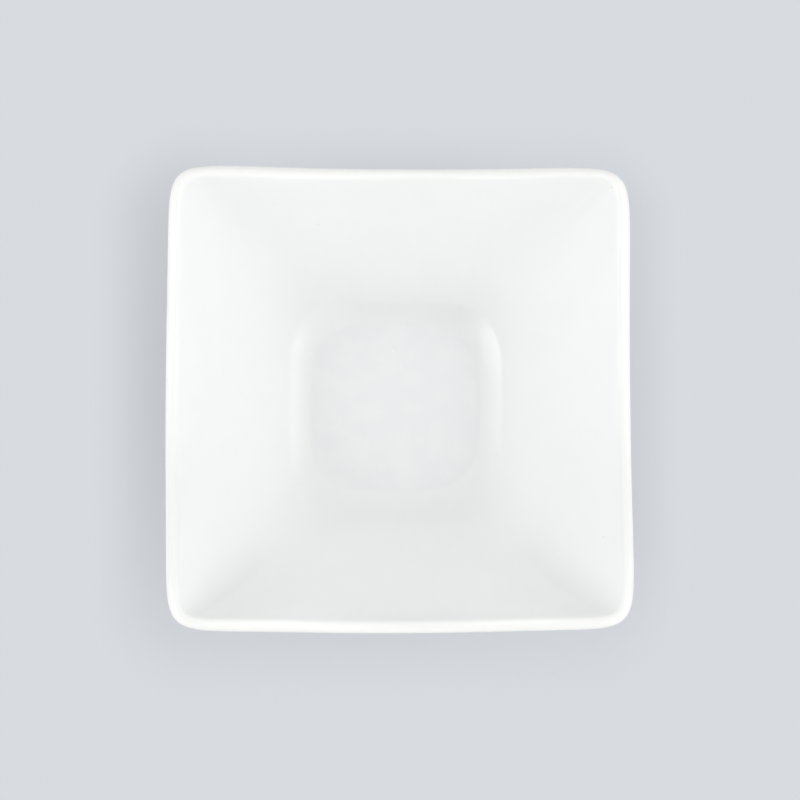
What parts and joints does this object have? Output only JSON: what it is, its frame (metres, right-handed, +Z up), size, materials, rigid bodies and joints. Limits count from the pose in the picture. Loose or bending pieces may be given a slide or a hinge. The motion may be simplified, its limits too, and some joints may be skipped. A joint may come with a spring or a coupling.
{
  "type": "soy sauce dish",
  "caption": "Small square porcelain dish with raised corners, dipped sides and a rounded square well, for soy sauce or another condiment at the table.",
  "frame": {"origin": "centre of the dish, on the table under the foot ring", "axes": "+Z up out of the bowl, X and Y square to the straight sides of the rim"},
  "size_m": [0.0916, 0.0916, 0.037],
  "materials": {
    "porcelain": "bare fired porcelain, dry and finely grained",
    "glaze": "glossy clear-white glaze"
  },
  "bodies": {
    "root": {"porcelain_body": "porcelain", "glaze_coat": "glaze", "underside_glaze": "glaze"}
  },
  "joints": []
}
